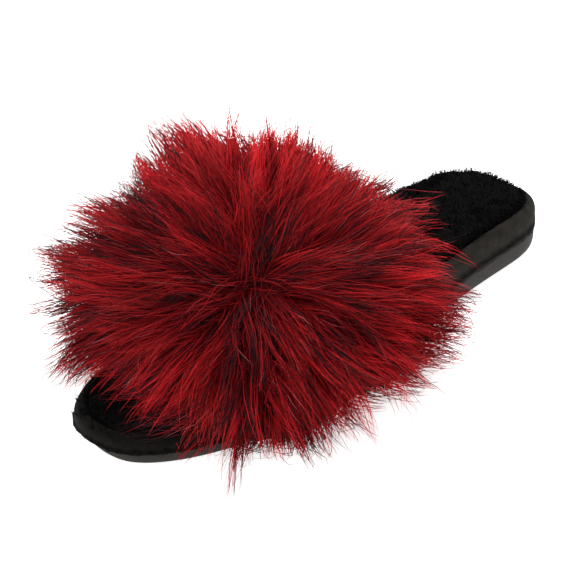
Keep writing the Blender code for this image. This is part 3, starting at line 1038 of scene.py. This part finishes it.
# %% [markdown]
# ## The colour of the pile
#
# The material reads only the fibre map. Along the hair it goes from maroon at the root to a clear
# red, the maroon being painted shade of the pile's inside, and in some columns to near black or to
# a pale painted highlight at the tip, sooner where the red is dark.
# Across the columns the red gets lighter. Both readings are plain maths on the map's two
# coordinates.

# %% Colour of the pile
RED_LEAST = 0.36
RED_RANGE = 1.50
TIP_START = 0.48
TIP_START_RANGE = 0.45
TIP_SHARPNESS = 6.0
WHOLE_EARLIER = 0.45


def maths(nodes, operation, first, second=0.0, third=0.0):
    """A Math node fed by sockets or by plain numbers."""
    node = nodes.new("ShaderNodeMath")
    node.operation = operation
    links = node.id_data.links
    for socket, value in zip(node.inputs, (first, second, third)):
        if isinstance(value, bpy.types.NodeSocket):
            links.new(value, socket)
        else:
            socket.default_value = value
    return node.outputs["Value"]


def ramp_node(nodes, stops):
    """A Color Ramp with the given places and colours."""
    ramp = nodes.new("ShaderNodeValToRGB")
    elements = ramp.color_ramp.elements
    while len(elements) < len(stops):
        elements.new(0.5)
    for element, (place, colour) in zip(elements, stops):
        element.position = place
        element.color = (*colour, 1.0)
    return ramp


def fur_material():
    material, nodes, links = new_material("red pile")
    shader = nodes["Principled BSDF"]
    shader.inputs["Roughness"].default_value = 0.60
    shader.inputs["Specular IOR Level"].default_value = 0.06
    chart = nodes.new("ShaderNodeUVMap")
    chart.uv_map = "OFBake"
    apart = nodes.new("ShaderNodeSeparateXYZ")
    links.new(chart.outputs["UV"], apart.inputs["Vector"])
    column = maths(nodes, "FLOOR", maths(nodes, "MULTIPLY", apart.outputs["X"], TONES))
    height = apart.outputs["Y"]
    light = maths(nodes, "FRACT", maths(nodes, "DIVIDE", maths(nodes, "ADD", column, 0.5), REDS))
    # Maroon towards the root is painted shade of the pile's inside; the red at the tip is the
    # hair's own.
    along = ramp_node(nodes, (
        (0.00, (0.016, 0.001, 0.001)),
        (0.40, (0.050, 0.001, 0.002)),
        (0.64, (0.170, 0.003, 0.005)),
        (0.82, (0.400, 0.008, 0.011)),
        (1.00, (0.640, 0.024, 0.028)),
    ))
    links.new(height, along.inputs["Fac"])
    brightness = maths(nodes, "MULTIPLY_ADD", light, RED_RANGE, RED_LEAST)
    toned = nodes.new("ShaderNodeMix")
    toned.data_type = "RGBA"
    toned.blend_type = "MULTIPLY"
    toned.inputs["Factor"].default_value = 1.0
    links.new(along.outputs["Color"], toned.inputs["A"])
    grey = nodes.new("ShaderNodeCombineColor")
    for name in ("Red", "Green", "Blue"):
        links.new(brightness, grey.inputs[name])
    links.new(grey.outputs["Color"], toned.inputs["B"])
    tipped = maths(nodes, "GREATER_THAN", column, REDS - 0.5)
    # The last columns have a pale tip, a painted highlight.
    pale = maths(nodes, "GREATER_THAN", column, 2 * REDS + DARKS - 0.5)
    middle = 2 * REDS + (DARKS - 1) / 2.0
    whole = maths(nodes, "COMPARE", column, middle, DARKS / 2.0 - 0.2)
    start = maths(nodes, "MULTIPLY_ADD", light, TIP_START_RANGE, TIP_START)
    start = maths(nodes, "SUBTRACT", start, maths(nodes, "MULTIPLY", whole, WHOLE_EARLIER))
    rise = maths(nodes, "SUBTRACT", height, start)
    fade = nodes.new("ShaderNodeClamp")
    links.new(maths(nodes, "MULTIPLY", rise, TIP_SHARPNESS), fade.inputs["Value"])
    darkness = maths(nodes, "MULTIPLY", tipped, fade.outputs["Result"])
    # The tip goes to near black, or to pale as a painted highlight.
    end = nodes.new("ShaderNodeMix")
    end.data_type = "RGBA"
    end.inputs["A"].default_value = (0.016, 0.005, 0.007, 1.0)
    end.inputs["B"].default_value = (0.500, 0.130, 0.130, 1.0)
    links.new(pale, end.inputs["Factor"])
    tip = nodes.new("ShaderNodeMix")
    tip.data_type = "RGBA"
    links.new(end.outputs["Result"], tip.inputs["B"])
    links.new(darkness, tip.inputs["Factor"])
    links.new(toned.outputs["Result"], tip.inputs["A"])
    links.new(tip.outputs["Result"], shader.inputs["Base Color"])
    return material


PILE = fur_material()

# %% [markdown]
# ## The pile
#
# All hairs in one mesh would be too large a piece, so they are shared out among a few, each from
# all over the fur.

# %% Pile
GIRTHS = (0.7, 1.25)


def make_pile():
    pieces = []
    shares = np.array_split(np.arange(STRANDS), PILE_PIECES)
    for number, part in enumerate(shares, start=1):
        girth = THICKNESS * draw_strands.uniform(*GIRTHS, len(part))
        pile = fibre_mesh(f"fur_pile_{number}", LINES[part], girth[:, None] * TAPER[None],
                          TONE_OF[part], ALONG, FACING[part])
        pile.data.materials.append(PILE)
        place_in_frame(pile, "fur")
        pieces.append(pile)
    return pieces


pile_pieces = make_pile()

# %% [markdown]
# ## The ground of the fur
#
# Under the pile is short underfur, which closes every gap down to the cloth. Its dark maroon is
# painted shade of the pile's inside. It is a padded skin on the outside of the band: the outer
# faces of a merged copy of the band, given a thickness. Together with the pile it stands for the
# frame's fur solid.

# %% Ground of the fur
UNDERFUR = 0.006


def make_underfur():
    ground = merged_copy("upper_band", "underfur")
    mesh = ground.data
    bpy.ops.object.mode_set(mode="EDIT")
    bpy.ops.mesh.select_mode(type="FACE")
    bpy.ops.mesh.select_all(action="DESELECT")
    bpy.ops.object.mode_set(mode="OBJECT")
    for face in mesh.polygons:
        outward = face.center - BAND_MIDDLE
        outward.y = 0.0
        face.select = face.normal.dot(outward) <= 0.0 or abs(face.normal.y) > BAND_END
    bpy.ops.object.mode_set(mode="EDIT")
    bpy.ops.mesh.delete(type="FACE")
    bpy.ops.object.mode_set(mode="OBJECT")
    padding = ground.modifiers.new("padding", "SOLIDIFY")
    padding.thickness = UNDERFUR
    padding.offset = 1.0
    bpy.ops.object.modifier_apply(modifier=padding.name)
    round_off(ground, 1)
    # Its dark maroon is painted shade of the pile's inside.
    ground.data.materials.append(grained_material(
        "underfur", dark=(0.012, 0.001, 0.002), light=(0.050, 0.002, 0.004),
        broad=300.0, fine=900.0, bump=0.0012, roughness=1.0, specular=0.1))
    place_in_frame(ground, "fur", "fur")
    return ground


underfur = make_underfur()

# %% [markdown]
# ## Plush fibres
#
# The same fibre mesh makes the insole's pile: short, fine and nearly black, leaning every way.
# It is densest at the insole's edge, where it makes the outline soft, and a little of it lies on
# the rim around the toe. Under the band nobody sees it, so none is planted there.

# %% Plush fibres
PLUSH_FIBRES = 7000
PLUSH_LENGTH = 0.0026
PLUSH_GIRTH = 0.00020
PLUSH_LEAN = 0.5
PLUSH_BEND = 0.0004
PLUSH_ROOT = 0.0005
HIDDEN = (-0.085, -0.005)
EDGE_FACING = 0.93        # the plush faces up by less than this at its edge
EDGE_DENSITY = 5.0
RIM_FIBRES = 1400
RIM_FACING = 0.75
RIM_FUZZ_END = -0.075


def fuzz_roots(draw):
    """Roots all over the plush that shows, most at its edge, and on the rim around the toe."""
    corners, normals, area = surface_triangles(plush.data)
    along = corners[:, :, 1].mean(axis=1)
    shown = (normals[:, 2] > 0.0) & ((along < HIDDEN[0]) | (along > HIDDEN[1]))
    edge = np.where(normals[:, 2] < EDGE_FACING, EDGE_DENSITY, 1.0)
    roots, square = scatter(corners, normals, area * shown * edge, PLUSH_FIBRES, draw)
    corners, normals, area = surface_triangles(footbed.data)
    top = (normals[:, 2] > RIM_FACING) & (corners.mean(axis=1)[:, 1] < RIM_FUZZ_END)
    rim, rim_square = scatter(corners, normals, area * top, RIM_FIBRES, draw)
    return np.concatenate([roots, rim]), np.concatenate([square, rim_square])


def plush_fibre_material():
    material, nodes, links = new_material("plush fibre")
    shader = nodes["Principled BSDF"]
    shader.inputs["Roughness"].default_value = 0.85
    shader.inputs["Specular IOR Level"].default_value = 0.02
    chart = nodes.new("ShaderNodeUVMap")
    chart.uv_map = "OFBake"
    apart = nodes.new("ShaderNodeSeparateXYZ")
    links.new(chart.outputs["UV"], apart.inputs["Vector"])
    along = ramp_node(nodes, ((0.0, (0.001, 0.001, 0.001)), (1.0, (0.006, 0.0055, 0.0055))))
    links.new(apart.outputs["Y"], along.inputs["Fac"])
    links.new(along.outputs["Color"], shader.inputs["Base Color"])
    return material


def make_plush_fibres():
    draw = np.random.default_rng(31)
    roots, square = fuzz_roots(draw)
    count = len(roots)
    lean = unit(square + draw.normal(0.0, PLUSH_LEAN, square.shape))
    length = PLUSH_LENGTH * draw.uniform(0.5, 1.1, count)
    tips = roots + lean * length[:, None]
    middle = (roots + tips) / 2.0 + draw.normal(0.0, PLUSH_BEND, roots.shape)
    lines = np.stack([roots - square * PLUSH_ROOT, middle, tips], axis=1)
    girth = PLUSH_GIRTH * draw.uniform(0.7, 1.3, count)
    pile = fibre_mesh("plush_fibres", lines, girth[:, None] * np.array((1.0, 0.8))[None],
                      draw.integers(0, TONES, count), (0.0, 0.5, 1.0))
    pile.data.materials.append(plush_fibre_material())
    place_in_frame(pile, "plush")
    return pile


plush_fibres = make_plush_fibres()

# %% [markdown]
# ## Floor and light
#
# The photo is a cut-out on white, lit softly from above. A wide pale floor under a white sky
# gives that, and one large lamp above and behind the slipper, with painted light in the hair there,
# makes the upper lobe of the fur the brightest, as in the photo.

# %% Floor and light
def make_floor():
    bpy.ops.mesh.primitive_plane_add(size=8.0, location=(0.0, 0.0, 0.0))
    floor = bpy.context.object
    floor.name = "floor"
    material, nodes, links = new_material("pale floor")
    shader = nodes["Principled BSDF"]
    shader.inputs["Base Color"].default_value = (0.90, 0.90, 0.90, 1.0)
    shader.inputs["Roughness"].default_value = 1.0
    shader.inputs["Specular IOR Level"].default_value = 0.0
    shader.inputs["Emission Color"].default_value = (1.0, 1.0, 1.0, 1.0)
    shader.inputs["Emission Strength"].default_value = 0.75
    floor.data.materials.append(material)
    return floor


def make_lamp(name, place, aim, size, power):
    bpy.ops.object.light_add(type="AREA", location=place)
    lamp = bpy.context.object
    lamp.name = name
    lamp.data.size = size
    lamp.data.energy = power
    lamp.rotation_euler = (Vector(aim) - Vector(place)).to_track_quat("-Z", "Y").to_euler()
    return lamp


def make_sky(strength):
    world = bpy.data.worlds.new("soft_sky")
    world.use_nodes = True
    sky = world.node_tree.nodes["Background"]
    sky.inputs["Color"].default_value = (1.0, 1.0, 1.0, 1.0)
    sky.inputs["Strength"].default_value = strength
    bpy.context.scene.world = world


floor = make_floor()
make_lamp("top_lamp", (-0.35, 0.25, 1.10), (0.0, -0.03, 0.03), 0.7, 15.0)
make_lamp("front_lamp", (0.75, -0.95, 0.75), (0.0, -0.03, 0.03), 0.8, 6.0)
make_sky(0.70)
bpy.context.scene.view_settings.view_transform = "Standard"
